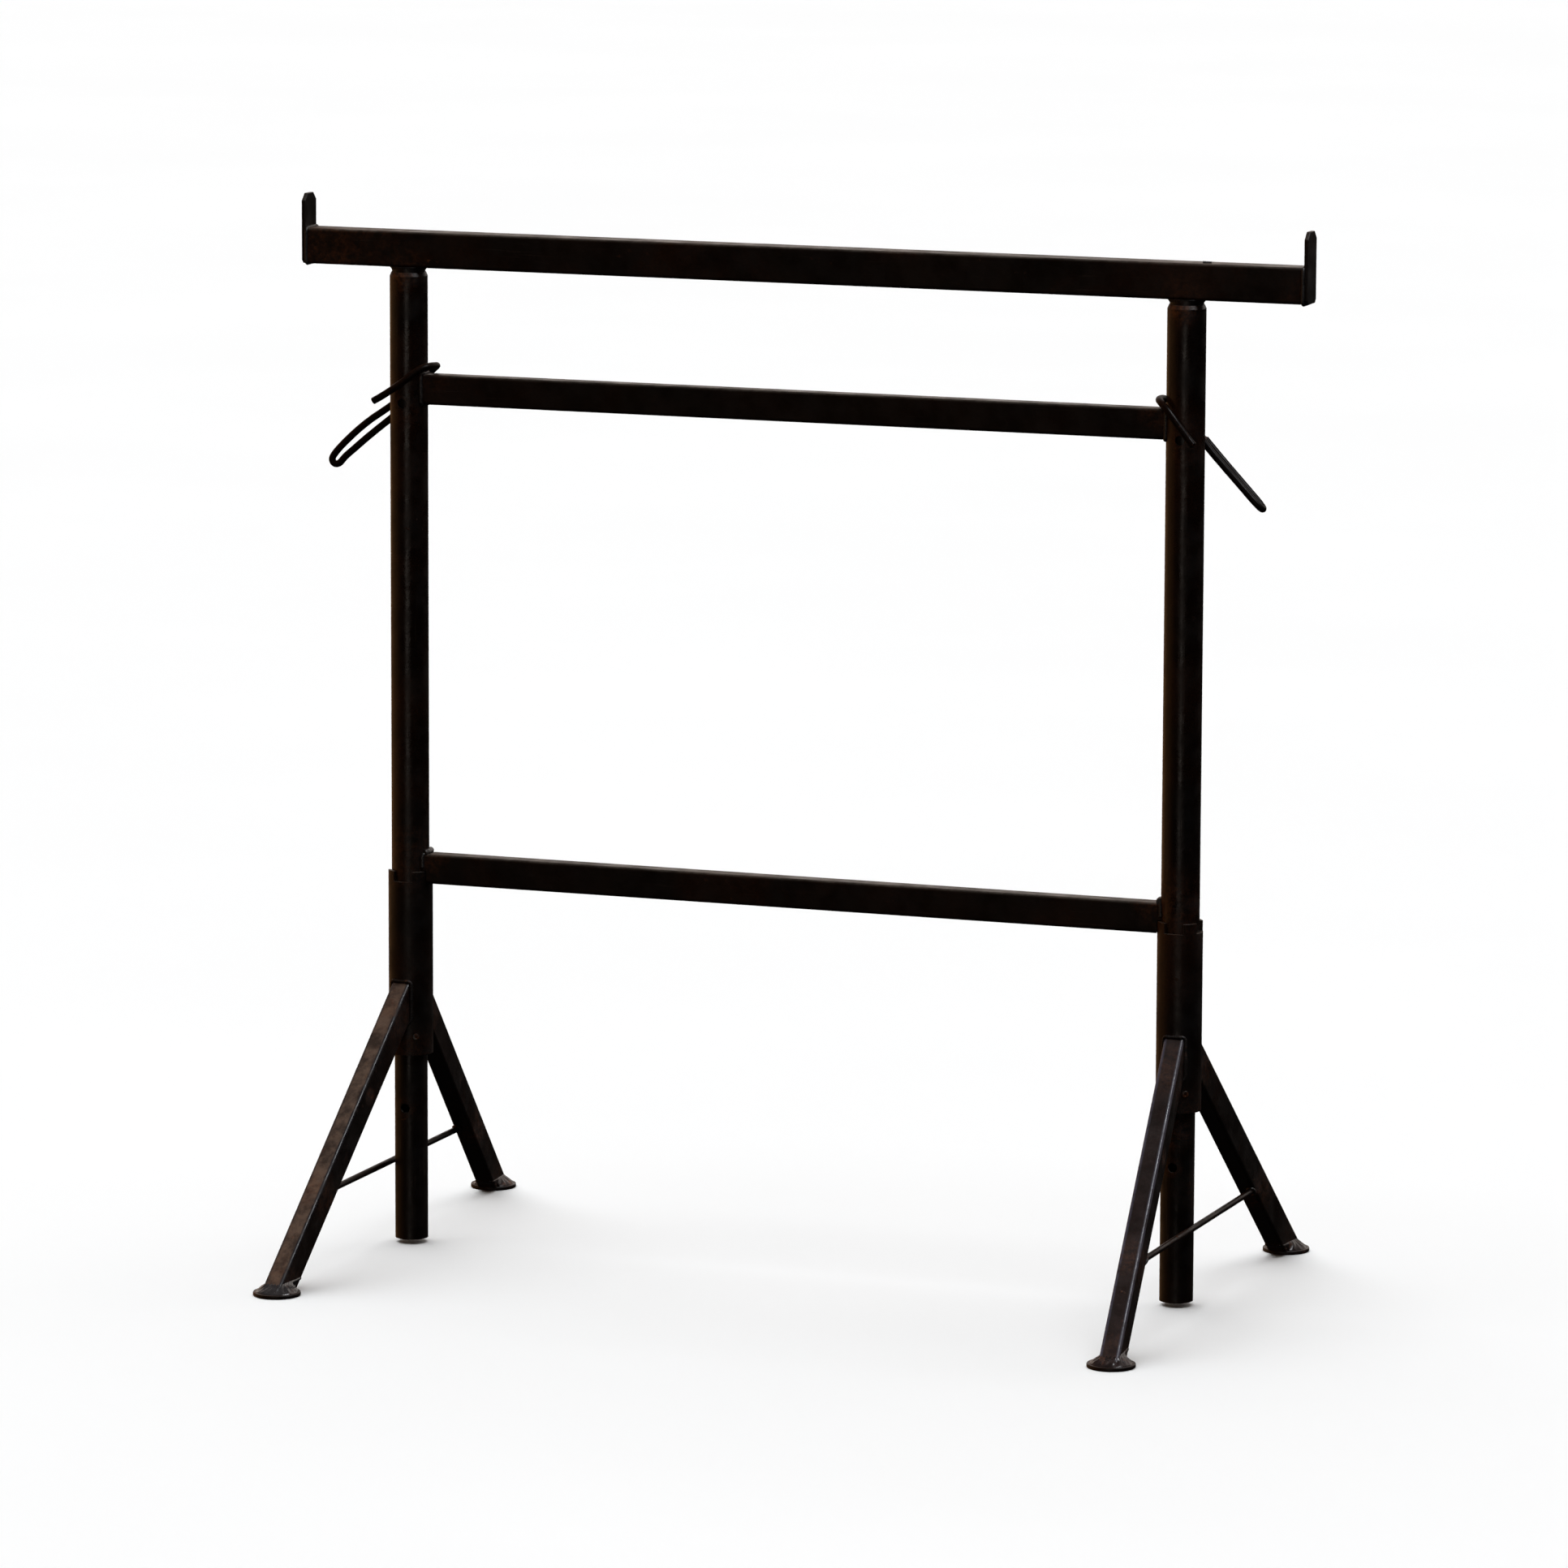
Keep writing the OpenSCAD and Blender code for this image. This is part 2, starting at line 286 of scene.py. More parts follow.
class Paint:
    """Short-hand for building one procedural material."""

    def __init__(self, name):
        self.material = bpy.data.materials.new(name)
        self.material.use_nodes = True
        self.tree = self.material.node_tree
        self.tree.nodes.clear()
        self.coords = self.add("ShaderNodeTexCoord").outputs["Object"]
        self.shader = self.add("ShaderNodeBsdfPrincipled")
        out = self.add("ShaderNodeOutputMaterial")
        self.link(self.shader.outputs[0], out.inputs["Surface"])

    def add(self, kind):
        return self.tree.nodes.new(kind)

    def link(self, source, target):
        self.tree.links.new(source, target)

    def put(self, value, target):
        """Links a socket, or sets a plain value."""
        if isinstance(value, bpy.types.NodeSocket):
            self.link(value, target)
        else:
            target.default_value = value

    def noise(self, scale, detail=4.0, rough=0.55, stretch=None, distortion=0.0, shift=0.0):
        """Noise in the object's own coordinates; stretch gives an axis a lower frequency."""
        mapping = self.add("ShaderNodeMapping")
        mapping.inputs["Scale"].default_value = stretch or (1, 1, 1)
        mapping.inputs["Location"].default_value = (shift, shift * 0.7, shift * 1.3)
        self.link(self.coords, mapping.inputs["Vector"])
        texture = self.add("ShaderNodeTexNoise")
        self.link(mapping.outputs[0], texture.inputs["Vector"])
        texture.inputs["Scale"].default_value = scale
        texture.inputs["Detail"].default_value = detail
        texture.inputs["Roughness"].default_value = rough
        texture.inputs["Distortion"].default_value = distortion
        return texture.outputs["Fac"]

    def ramp(self, value, low, high, out_low=0.0, out_high=1.0):
        """Smooth step from one value to another."""
        node = self.add("ShaderNodeMapRange")
        node.interpolation_type = "SMOOTHSTEP"
        self.link(value, node.inputs["Value"])
        node.inputs["From Min"].default_value = low
        node.inputs["From Max"].default_value = high
        node.inputs["To Min"].default_value = out_low
        node.inputs["To Max"].default_value = out_high
        return node.outputs["Result"]

    def math(self, operation, a, b=0.0):
        """One sum of two sockets or plain values."""
        node = self.add("ShaderNodeMath")
        node.operation = operation
        self.put(a, node.inputs[0])
        self.put(b, node.inputs[1])
        return node.outputs[0]

    def mix(self, share, a, b):
        """Mix of two colours."""
        node = self.add("ShaderNodeMix")
        node.data_type = "RGBA"
        self.put(share, node.inputs[0])
        self.put(colour(a), node.inputs[6])
        self.put(colour(b), node.inputs[7])
        return node.outputs[2]

    def near(self, place, radius):
        """1 at a place on the object, falling to 0 at a distance."""
        node = self.add("ShaderNodeVectorMath")
        node.operation = "DISTANCE"
        self.link(self.coords, node.inputs[0])
        node.inputs[1].default_value = place
        return self.ramp(node.outputs["Value"], radius * 0.25, radius, 1.0, 0.0)

    def near_line(self, place, direction, inner, outer):
        """1 on a straight line on the object, falling to 0 between two distances."""
        offset = self.add("ShaderNodeVectorMath")
        offset.operation = "SUBTRACT"
        self.link(self.coords, offset.inputs[0])
        offset.inputs[1].default_value = place
        cross = self.add("ShaderNodeVectorMath")
        cross.operation = "CROSS_PRODUCT"
        self.link(offset.outputs[0], cross.inputs[0])
        cross.inputs[1].default_value = direction
        length = self.add("ShaderNodeVectorMath")
        length.operation = "LENGTH"
        self.link(cross.outputs[0], length.inputs[0])
        return self.ramp(length.outputs["Value"], inner, outer, 1.0, 0.0)

    def axis(self, name):
        node = self.add("ShaderNodeSeparateXYZ")
        self.link(self.coords, node.inputs[0])
        return node.outputs[name]

    def upward(self):
        """How far the surface faces up, 0 to 1."""
        geometry = self.add("ShaderNodeNewGeometry")
        node = self.add("ShaderNodeSeparateXYZ")
        self.link(geometry.outputs["Normal"], node.inputs[0])
        return self.ramp(node.outputs["Z"], 0.2, 0.95)

    def edges(self, radius):
        """Where the surface bends sharply, and the softened normal."""
        bevel = self.add("ShaderNodeBevel")
        bevel.samples = 4
        bevel.inputs["Radius"].default_value = radius
        geometry = self.add("ShaderNodeNewGeometry")
        dot = self.add("ShaderNodeVectorMath")
        dot.operation = "DOT_PRODUCT"
        self.link(bevel.outputs[0], dot.inputs[0])
        self.link(geometry.outputs["Normal"], dot.inputs[1])
        return self.ramp(dot.outputs["Value"], 0.995, 0.86, 0.0, 1.0), bevel.outputs[0]

    def bump(self, height, distance, normal):
        """Surface relief on top of another normal."""
        node = self.add("ShaderNodeBump")
        node.inputs["Distance"].default_value = distance
        node.inputs["Strength"].default_value = 1.0
        self.link(height, node.inputs["Height"])
        self.link(normal, node.inputs["Normal"])
        return node.outputs[0]


def colour(value):
    """Adds alpha to a plain colour and leaves a socket alone."""
    if isinstance(value, bpy.types.NodeSocket):
        return value
    return (*value, 1.0)


# ---------------------------------------------------------------- materials

BLACK = (0.0056, 0.0024, 0.0013)
SOOT = (0.0105, 0.0042, 0.0019)
BROWN = (0.0270, 0.0078, 0.0021)
RUST = (0.115, 0.034, 0.008)
DEEP_RUST = (0.032, 0.0088, 0.0025)
BARE = (0.060, 0.043, 0.033)
DUST = (0.155, 0.130, 0.105)
STRETCH = {"x": (0.03, 1, 1), "z": (1, 1, 0.03), "": (1, 1, 1)}


def painted_steel(name, grain="", brown=0.5, rust=0.3, scuffs=0.3, dust=0.3, edge=0.5, shift=0.0,
                  spots=(), base=(BLACK, SOOT), dust_colour=DUST, gloss=0.2, rough=0.38,
                  ridges=(), ridge_wear_and_sheen_colour=BARE, rings=()):
    """Old dark paint on steel: uneven tone, brown film, streaks, rust, worn edges and settled dust.

    brown, rust, scuffs, dust and edge run from 0 (none) to 1 (heavy). spots are (place, radius, amount) of
    rust, ridges are (place, direction) of smooth worn lines, coloured bare steel by default and a painted
    reflection of the lights where the caller gives that colour, and rings are heights of thin dark marks.
    """
    p = Paint(name)
    tone = p.ramp(p.noise(11, 6, 0.6, shift=shift), 0.35, 0.68)
    surface = p.mix(tone, *base)
    film_noise = p.noise(6.5, 8, 0.62, distortion=0.6, shift=shift + 3)
    film_mask = p.ramp(film_noise, 0.62 - 0.3 * brown, 0.78 - 0.2 * brown)
    film_grain = p.ramp(p.noise(260, 3, 0.6, shift=shift), 0.25, 0.75, 0.35, 1.0)
    film = p.math("MULTIPLY", p.math("MULTIPLY", film_mask, film_grain), min(1.0, 0.55 + brown * 0.4))
    surface = p.mix(film, surface, BROWN)
    streak = p.noise(300, 3, 0.6, stretch=STRETCH[grain], shift=shift + 5)
    streak_gate = p.ramp(p.noise(9, 4, 0.6, shift=shift + 8), 0.4, 0.7)
    scratch = p.math("MULTIPLY", p.ramp(streak, 0.66 - 0.1 * scuffs, 0.78 - 0.08 * scuffs), streak_gate)
    surface = p.mix(p.math("MULTIPLY", scratch, 0.3 + scuffs * 0.5), surface, BARE)
    fine_rust = p.ramp(p.noise(85, 5, 0.65, shift=shift + 2), 0.66 - 0.16 * rust, 0.76 - 0.14 * rust)
    rust_area = p.ramp(p.noise(10, 5, 0.6, shift=shift + 12), 0.6 - 0.25 * rust, 0.75 - 0.2 * rust)
    pits = p.math("MULTIPLY", fine_rust, rust_area)
    for place, radius, amount in spots:
        blotches = p.ramp(p.noise(75, 6, 0.65, shift=shift), 0.32, 0.6)
        halo = p.math("MULTIPLY", p.near(place, radius), blotches)
        pits = p.math("MAXIMUM", pits, p.math("MULTIPLY", halo, amount))
    rust_tone = p.mix(p.ramp(p.noise(190, 4, 0.6, shift=shift + 1), 0.35, 0.65), DEEP_RUST, RUST)
    surface = p.mix(pits, surface, rust_tone)
    corner, soft = p.edges(0.0011)
    rubbed = p.ramp(p.noise(70, 5, 0.65, shift=shift + 6), 0.62 - 0.3 * edge, 0.72 - 0.22 * edge)
    worn = p.math("MULTIPLY", corner, rubbed)
    surface = p.mix(p.math("MULTIPLY", worn, 0.8), surface, BARE)
    dust_noise = p.ramp(p.noise(48, 7, 0.68, shift=shift + 4), 0.33, 0.66, 0.2, 1.0)
    settled = p.math("MULTIPLY", p.upward(), dust_noise)
    surface = p.mix(p.math("MULTIPLY", settled, dust), surface, dust_colour)
    smooth = None
    for place, direction in ridges:
        line = p.near_line(place, direction, 0.0016, 0.0042)
        smooth = line if smooth is None else p.math("MAXIMUM", smooth, line)
    if smooth is not None:
        broken = p.ramp(p.noise(55, 5, 0.6, shift=shift + 2), 0.3, 0.52, 0.25, 1.0)
        smooth = p.math("MULTIPLY", smooth, broken)
        # the ridge lines take their own colour: bare worn steel by default, and on the front legs a
        # painted reflection of the lights
        surface = p.mix(p.math("MULTIPLY", smooth, 0.85), surface, ridge_wear_and_sheen_colour)
    for height in rings:
        away = p.math("ABSOLUTE", p.math("SUBTRACT", p.axis("Z"), height))
        band = p.ramp(away, 0.0005, 0.0012, 1.0, 0.0)
        surface = p.mix(p.math("MULTIPLY", band, 0.8), surface, (0.002, 0.0014, 0.001))
    p.link(surface, p.shader.inputs["Base Color"])
    roughness = p.ramp(p.noise(30, 6, 0.6, shift=shift + 9), 0.3, 0.7, rough - 0.1, rough + 0.14)
    roughness = p.math("ADD", roughness, p.math("MULTIPLY", pits, 0.3))
    roughness = p.math("ADD", roughness, p.math("MULTIPLY", settled, dust * 0.2))
    if smooth is not None:
        roughness = p.math("SUBTRACT", roughness, p.math("MULTIPLY", smooth, 0.16))
    p.link(roughness, p.shader.inputs["Roughness"])
    p.shader.inputs["Specular IOR Level"].default_value = gloss
    skin = p.bump(p.noise(520, 3, 0.5, shift=shift), 0.00012, soft)
    waves = p.bump(p.noise(38, 3, 0.5, shift=shift + 7), 0.0009, skin)
    crust = p.bump(p.math("MULTIPLY", pits, p.noise(420, 4, 0.7)), 0.0006, waves)
    lines = p.bump(scratch, -0.00008, crust)
    p.link(lines, p.shader.inputs["Normal"])
    return p.material


def weld_metal(name, rust, shift, dark=(0.0055, 0.0032, 0.0026), light=(0.014, 0.0088, 0.0074),
               smooth=0.18, gloss=0.6, grit=0.0002):
    """Weld metal under old paint: dark, slightly shiny, rusty in its hollows."""
    p = Paint(name)
    tone = p.ramp(p.noise(60, 6, 0.6, shift=shift), 0.35, 0.65)
    surface = p.mix(tone, dark, light)
    stain = p.ramp(p.noise(70, 6, 0.65, shift=shift + 3), 0.62 - 0.25 * rust, 0.74 - 0.2 * rust)
    grain = p.mix(p.ramp(p.noise(300, 4, 0.6, shift=shift), 0.35, 0.65), DEEP_RUST, RUST)
    surface = p.mix(stain, surface, grain)
    p.link(surface, p.shader.inputs["Base Color"])
    roughness = p.ramp(p.noise(120, 5, 0.6, shift=shift), 0.3, 0.7, smooth, smooth + 0.2)
    p.link(p.math("ADD", roughness, p.math("MULTIPLY", stain, 0.35)), p.shader.inputs["Roughness"])
    p.shader.inputs["Specular IOR Level"].default_value = gloss
    geometry = p.add("ShaderNodeNewGeometry")
    small = p.bump(p.noise(700, 4, 0.6, shift=shift), grit, geometry.outputs["Normal"])
    p.link(small, p.shader.inputs["Normal"])
    return p.material


def screw_metal(name):
    """Dull set screw with a rusty rim."""
    p = Paint(name)
    tone = p.ramp(p.noise(200, 5, 0.6), 0.35, 0.65)
    surface = p.mix(tone, (0.05, 0.045, 0.042), (0.13, 0.115, 0.1))
    stain = p.ramp(p.noise(160, 5, 0.65, shift=2), 0.4, 0.6)
    surface = p.mix(stain, surface, RUST)
    p.link(surface, p.shader.inputs["Base Color"])
    p.link(p.ramp(p.noise(260, 4, 0.6), 0.3, 0.7, 0.35, 0.7), p.shader.inputs["Roughness"])
    p.shader.inputs["Metallic"].default_value = 0.6
    soft = p.edges(0.0005)[1]
    p.link(p.bump(p.noise(900, 3, 0.6), 0.0001, soft), p.shader.inputs["Normal"])
    return p.material


def floor_material():
    """Plain pale studio floor."""
    p = Paint("floor")
    tone = p.ramp(p.noise(0.8, 3, 0.5), 0.3, 0.7)
    p.link(p.mix(tone, (0.90, 0.93, 0.95), (0.91, 0.94, 0.96)), p.shader.inputs["Base Color"])
    p.shader.inputs["Roughness"].default_value = 0.9
    p.shader.inputs["Specular IOR Level"].default_value = 0.1
    return p.material


def foot_point(side, end, height=0.0):
    """Point on a leg's axis at a height."""
    plate = centre(f"{side}_{end}_plate")
    share = 1 - height / LEG_APEX
    return Vector((
        POST_X[side] + (plate.x - POST_X[side]) * share,
        plate.y * share,
        height,
    ))


def make_materials():
    """One material for every kind of surface, by name."""
    left, right = POST_X["left"], POST_X["right"]
    beam_spots = [
        ((BEAM_LOW.x, 0, BEAM_LOW.z), 0.14, 0.5),
        ((BEAM_LOW.x + 0.07, -0.018, BEAM_HIGH.z), 0.08, 0.35),
        ((left, -0.018, BEAM_LOW.z), 0.05, 0.3),
        ((right, -0.018, BEAM_LOW.z), 0.05, 0.25),
        ((BEAM_HIGH.x, 0, BEAM_LOW.z), 0.05, 0.3),
    ]
    post_spots = [
        ((left, -0.02, UPPER_LOW.z), 0.05, 0.3),
        ((right, -0.02, UPPER_LOW.z), 0.05, 0.25),
        ((left, -0.02, LOWER_HIGH.z), 0.06, 0.3),
        ((right, -0.02, LOWER_HIGH.z), 0.06, 0.35),
        ((left - 0.02, 0, 1.25), 0.05, 0.35),
        ((right, -0.024, OUTER_HOLE_Z), 0.022, 0.5),
        ((left, -0.024, OUTER_HOLE_Z), 0.022, 0.4),
        ((left, -0.02, OUTER_TOP), 0.034, 0.8),
        ((right, -0.02, OUTER_TOP), 0.034, 0.8),
    ]
    rail_spots = [
        ((left + 0.03, -0.01, UPPER_HIGH.z), 0.04, 0.3),
        ((right - 0.03, -0.01, UPPER_HIGH.z), 0.04, 0.3),
        ((left + 0.03, -0.01, LOWER_HIGH.z), 0.04, 0.35),
        ((right - 0.03, -0.01, LOWER_HIGH.z), 0.04, 0.35),
    ]
    sleeve_spots = []
    for side in SIDES:
        sleeve_spots.append(((POST_X[side], -0.02, SLEEVE_BOTTOM), 0.05, 0.4))
        sleeve_spots.append(((POST_X[side], 0.02, SLEEVE_BOTTOM), 0.06, 0.5))
        sleeve_spots.append(((POST_X[side], 0, SLEEVE_TOP), 0.05, 0.4))
    inner_spots = [
        ((right, -0.021, 0.225), 0.035, 0.6),
        ((left, -0.021, INNER_HOLE_Z), 0.018, 0.5),
        ((right, -0.021, INNER_HOLE_Z), 0.018, 0.5),
        ((right, 0.021, 0.15), 0.05, 0.6),
    ]
    made = {
        "beam": painted_steel("beam_paint", "x", 0.45, 0.3, 0.4, 0.3, 0.6, 0.0, beam_spots),
        "stop": painted_steel("stop_paint", "", 0.6, 0.5, 0.4, 0.3, 0.8, 1.5),
        "post": painted_steel("post_paint", "z", 0.75, 0.25, 0.5, 0.2, 0.5, 2.5, post_spots,
                              gloss=0.22, rough=0.28),
        "rail": painted_steel("rail_paint", "x", 0.4, 0.25, 0.4, 0.3, 0.6, 3.5, rail_spots),
        "inner_left": painted_steel("inner_tube_worn_left", "z", 0.45, 0.3, 0.9, 0.2, 0.6, 4.5,
                                    inner_spots),
        "inner_right": painted_steel("inner_tube_worn_right", "z", 0.45, 0.3, 0.9, 0.2, 0.6, 4.5,
                                     inner_spots, rings=(SCUFF_RING_Z,)),
        "sleeve": painted_steel("sleeve_paint", "z", 0.6, 0.35, 0.4, 0.3, 0.7, 5.5, sleeve_spots),
        "plate": painted_steel("plate_paint", "", 0.4, 0.5, 0.5, 0.3, 0.5, 8.5,
                               base=(SOOT, (0.018, 0.011, 0.010)), dust_colour=(0.060, 0.044, 0.040)),
        "rod": painted_steel("rod_paint", "", 0.5, 0.4, 0.15, 0.0, 0.2, 9.5,
                             base=(BLACK, (0.009, 0.0040, 0.0024)), gloss=0.06, rough=0.34),
        "weld": weld_metal("weld_bead", 0.3, 0.0, smooth=0.28),
        "weld_dull": weld_metal("weld_neck", 0.35, 2.0, BLACK, SOOT, smooth=0.42, gloss=0.3),
        "weld_pale": weld_metal("weld_dome_pale", 0.1, 7.0,
                                (0.007, 0.0065, 0.0085), (0.018, 0.0155, 0.018),
                                smooth=0.1, gloss=0.8, grit=0.00004),
        "weld_dark": weld_metal("weld_dome_dark", 0.35, 9.0,
                                (0.0085, 0.0042, 0.0040), (0.019, 0.0095, 0.0090),
                                smooth=0.16, gloss=0.3, grit=0.00004),
        "weld_rusty": weld_metal("weld_bead_rusty", 0.7, 4.0, smooth=0.35, gloss=0.4),
        "screw": screw_metal("screw_dull"),
    }
    for side in SIDES:
        for end in ENDS:
            made[f"{side}_{end}_leg"] = leg_paint(side, end)
    return made


# how each leg has aged and how its ridges shine: dust, dust colour, the smooth ridge's colour, brown,
# rust;
# on the front legs the ridge colour is a painted reflection, dark sky on the left leg and a bright
# highlight on the right
LEG_AGE_AND_SHEEN = {
    "left_front": (0.80, (0.190, 0.118, 0.080), (0.012, 0.012, 0.017), 0.5, 0.5),
    "right_front": (0.50, (0.038, 0.0170, 0.0155), (0.075, 0.072, 0.105), 0.35, 0.4),
    "left_rear": (0.10, (0.045, 0.028, 0.019), (0.020, 0.013, 0.010), 0.5, 0.5),
    "right_rear": (0.10, (0.040, 0.026, 0.016), (0.020, 0.014, 0.010), 0.4, 0.5),
}


def leg_paint(side, end):
    """One leg's paint: rust at its welds and a smooth worn line along both upper ridges, which on the
    front legs carries a painted reflection of the lights.
    """
    dust, dust_colour, ridge_wear_and_sheen_colour, brown, rust = LEG_AGE_AND_SHEEN[f"{side}_{end}"]
    apex, down, level, square = leg_axes(side, end)
    upper = square if square.z > 0 else -square
    inset = 0.0012
    ridges = []
    for way in (-1, 1):
        across = level * way * (LEG_WIDTH / 2 - inset) + upper * (LEG_HEIGHT / 2 - inset)
        ridges.append((apex + across, down))
    spots = [
        (foot_point(side, end, 0.30), 0.06, 0.5),
        (foot_point(side, end, 0.104), 0.045, 0.6),
        (foot_point(side, end, 0.215) + level * LEG_WIDTH / 2, 0.016, 0.9),
        (foot_point(side, end, 0.01), 0.05, 0.4),
    ]
    shift = 10.0 + 3 * SIDES[side] + ENDS[end]
    return painted_steel(f"leg_paint_{side}_{end}", "", brown, rust, 0.5, dust, 0.7, shift, spots,
                         base=(BLACK, (0.011, 0.0058, 0.0046)), dust_colour=dust_colour,
                         gloss=0.2, rough=0.36, ridges=ridges, ridge_wear_and_sheen_colour=ridge_wear_and_sheen_colour)


def paint_frame(materials):
    """Gives every CAD node that stays visible its material."""
    by_node = {
        "head_beam": "beam",
        "upper_rail": "rail",
        "lower_rail": "rail",
    }
    for side in SIDES:
        by_node["inner_tube_" + side] = "inner_" + side
        by_node["outer_tube_" + side] = "post"
        by_node[side + "_sleeve"] = "sleeve"
        by_node[side + "_brace_rod"] = "rod"
        by_node[side + "_retaining_screw"] = "screw"
        for end in ENDS:
            by_node[f"{side}_{end}_leg"] = f"{side}_{end}_leg"
            by_node[f"{side}_{end}_plate"] = "plate"
    for node, key in by_node.items():
        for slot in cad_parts[node].material_slots:
            slot.material = materials[key]


# ---------------------------------------------------------------- head


def end_stop(side, material):
    """Flame-cut end plate with cut corners and rounded edges."""
    node = "end_stop_" + side
    low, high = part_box(node)
    half = (high.y - low.y) / 2
    cut = STOP_CUT
    outline = [
        (-half + cut / 2, low.z),
        (half - cut / 2, low.z),
        (half, low.z + cut / 2),
        (half, high.z - cut),
        (half - cut, high.z),
        (-half + cut, high.z),
        (-half, high.z - cut),
        (-half, low.z + cut / 2),
    ]
    bm = bmesh.new()
    near = [bm.verts.new((low.x, y, z)) for y, z in outline]
    far = [bm.verts.new((high.x, y, z)) for y, z in outline]
    count = len(outline)
    bm.faces.new(near)
    bm.faces.new(list(reversed(far)))
    for k in range(count):
        j = (k + 1) % count
        bm.faces.new((near[k], near[j], far[j], far[k]))
    bmesh.ops.bevel(bm, geom=bm.edges[:], offset=0.0009, segments=3, profile=0.6, affect="EDGES")
    piece = add_piece(f"{node}_plate", bm, "head", material, (node,))
    flat_shade_large(piece)
    return piece


def flat_shade_large(piece):
    """Keeps big faces flat beside their small rounded edges."""
    modifier = piece.modifiers.new("normals", "WEIGHTED_NORMAL")
    modifier.weight = 100
    modifier.keep_sharp = False


def head_welds(materials):
    """Fillets where the end stops and the inner tubes meet the beam, and one stray spot on its top."""
    height = BEAM_HIGH.z - BEAM_LOW.z
    depth = BEAM_HIGH.y - BEAM_LOW.y
    middle = (BEAM_LOW.z + BEAM_HIGH.z) / 2
    loop = rounded_loop(depth, height, TUBE_CORNER)
    for side, sign in SIDES.items():
        x = BEAM_LOW.x if side == "left" else BEAM_HIGH.x
        path = [Vector((x - sign * 0.0012, y, middle + z)) for y, z in loop]
        bead(f"weld_end_stop_{side}", path, STOP_BEAD, "head", materials["weld"],
             seed=11 + sign)
        neck_weld(side, sign, materials["weld_dull"])
    spot = Vector((POST_X["right"] + 0.022, -0.006, BEAM_HIGH.z + 0.0004))
    drip = [spot + Vector((0.0035 * k, 0.0006 * k, 0)) for k in range(4)]
    bead("weld_spot_beam", drip, STOP_BEAD, "head", materials["weld"],
         closed=False, seed=77, drops=0)


def neck_weld(side, sign, material):
    """Flared fillet between the beam and an inner tube, with the ripples of hand welding."""
    height = BEAM_LOW.z - OUTER_TOP
    top = BEAM_LOW.z + NECK_SINK
    count = 120
    rows = []
    for share in (1.0, 0.82, 0.64, 0.46, 0.28, 0.12, 0.0):
        row = []
        for k in range(count):
            angle = 2 * math.pi * k / count
            reach = NECK_FLARE * (0.15 + 0.85 * math.cos(angle) ** 2)
            flare = reach * (1 - share) ** 1.7
            ripple = math.sin(angle * 31 + 2.5 * math.sin(angle * 3 + sign))
            wobble = 0.0006 * ripple * math.sin(math.pi * share)
            place = Vector((math.cos(angle) * 3, math.sin(angle) * 3, share * 2 + sign * 5))
            lump = 0.0009 * noise.noise(place)
            radius = INNER_R - NECK_SINK + flare + (wobble + lump) * (1 - share * 0.7)
            z = top - (height - NECK_SINK) * share
            row.append((POST_X[side] + radius * math.cos(angle), radius * math.sin(angle), z))
        rows.append(row)
    inner_low = circle(POST_X[side], INNER_R - NECK_WALL, BEAM_LOW.z - height * 0.9, count)
    inner_high = circle(POST_X[side], INNER_R - NECK_WALL, top, count)
    bm = bmesh.new()
    skin = [[bm.verts.new(p) for p in row] for row in [inner_low] + rows + [inner_high]]
    bridge_rows(bm, skin + [skin[0]])
    add_piece(f"weld_neck_{side}", bm, "head", material)


def circle(x, radius, z, count):
    """Ring of points round a post."""
    out = []
    for k in range(count):
        angle = 2 * math.pi * k / count
        out.append((x + radius * math.cos(angle), radius * math.sin(angle), z))
    return out


# ---------------------------------------------------------------- frame


def rail_welds(materials):
    """Fillets where the rails meet the posts; those of the lower rail end above the sleeve's crown."""
    for label, low, high in (("upper", UPPER_LOW, UPPER_HIGH), ("lower", LOWER_LOW, LOWER_HIGH)):
        height = high.z - low.z
        depth = high.y - low.y
        middle = (low.z + high.z) / 2
        for side, sign in SIDES.items():
            path = []
            for y, z in rounded_loop(depth, height, TUBE_CORNER):
                x = POST_X[side] - sign * (math.sqrt(OUTER_R ** 2 - y * y) + 0.001)
                path.append(Vector((x, y, middle + z)))
            closed = label == "upper"
            if not closed:
                floor_z = SLEEVE_TOP + CROWN_CLEAR + 0.003
                dense = resample(path, 0.001, True)
                start = next(i for i in range(len(dense)) if dense[i - 1].z < floor_z <= dense[i].z)
                dense = dense[start:] + dense[:start]
                path = [p for p in dense if p.z >= floor_z]
            bead(f"weld_{label}_rail_{side}", path, RAIL_BEAD, "frame", materials["weld"],
                 closed=closed, seed=31 + sign + len(label))
    for side, sign in SIDES.items():
        corner_weld(side, sign, materials["weld"])


def corner_weld(side, sign, material):
    """Thick fillet in the corner above the lower rail."""
    half = (LOWER_HIGH.y - LOWER_LOW.y) / 2 - TUBE_CORNER / 2
    path = []
    for k in range(13):
        y = half * (k / 6 - 1)
        x = POST_X[side] - sign * (math.sqrt(OUTER_R ** 2 - y * y) + 0.0018)
        path.append(Vector((x, y, LOWER_HIGH.z + 0.0014)))
    bead(f"weld_lower_rail_{side}_corner", path, CORNER_BEAD, "frame", material,
         closed=False, seed=71 + sign)


# ---------------------------------------------------------------- feet


def leg_axes(side, end):
    """Apex, direction down the leg, and the two section axes (level, and square to it)."""
    apex = Vector((POST_X[side], 0, LEG_APEX))
    down = (foot_point(side, end) - apex).normalized()
    level = Vector((-down.y, down.x, 0)).normalized()
    return apex, down, level, level.cross(down)


def leg_loop(grow):
    """A leg's outline across its axis, grown outward."""
    return rounded_loop(LEG_WIDTH + 2 * grow, LEG_HEIGHT + 2 * grow, TUBE_CORNER + grow)


